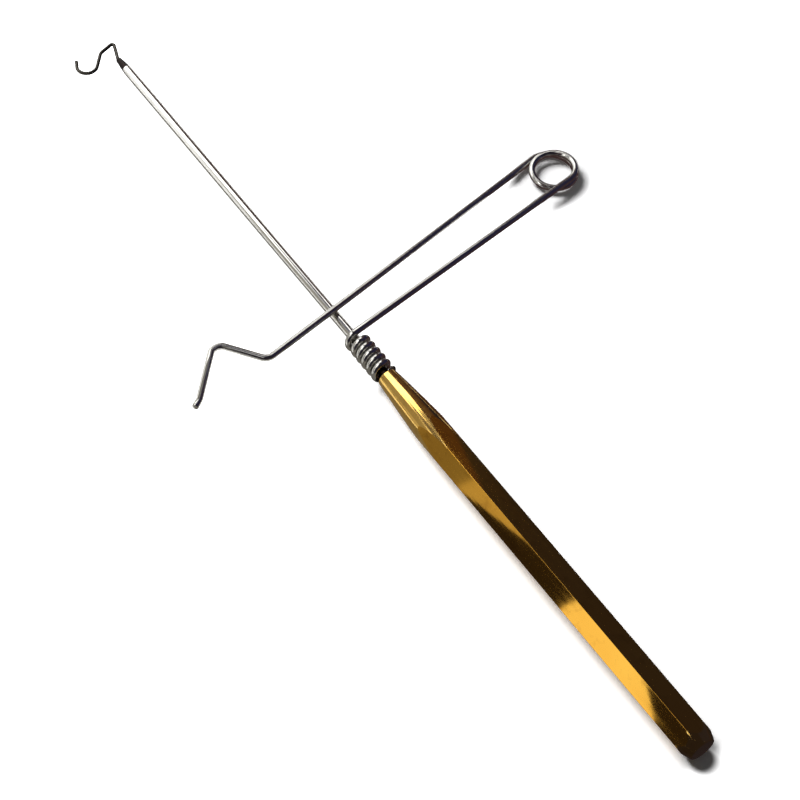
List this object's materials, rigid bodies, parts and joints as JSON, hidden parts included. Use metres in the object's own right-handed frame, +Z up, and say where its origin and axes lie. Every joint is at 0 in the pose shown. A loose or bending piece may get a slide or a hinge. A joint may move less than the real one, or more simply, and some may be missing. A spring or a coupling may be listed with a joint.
{
  "type": "whip finish tool",
  "caption": "Hexagonal brass handle with a thin steel shaft, a small bent tip hook and a sprung wire arm with a loop and a thread guide, for tying off thread with a whip finish.",
  "frame": {"origin": "centre of the flat face at the handle's butt end, on the handle's axis", "axes": "+X along the handle to the tip hook, -Y towards the loop of the spring arm, +Z up with the tool lying on a table"},
  "size_m": [0.1588, 0.0789, 0.0069],
  "materials": {
    "handle_brass": "polished, with turned ends",
    "shaft_steel": "bright drawn rod",
    "hook_steel": "drawn spring wire, slightly dull",
    "arm_steel": "bright drawn spring wire"
  },
  "bodies": {
    "tool_body": {"handle": "handle_brass", "shaft": "shaft_steel", "tip_hook": "hook_steel", "arm_winding": "arm_steel", "arm_fixed_leg": "arm_steel", "arm_loop": "arm_steel"},
    "free_arm": {"arm_free_leg": "arm_steel", "arm_guide_hook": "arm_steel"}
  },
  "joints": [
    {"name": "arm_spring", "type": "hinge", "parent": "tool_body", "child": "free_arm", "pos_m": [0.0933, -0.04645, 0], "axis": [0, 0, -1], "range_deg": [-4, 32], "stiffness_Nm_per_rad": 0.22, "deforming": ["arm_loop"]}
  ]
}
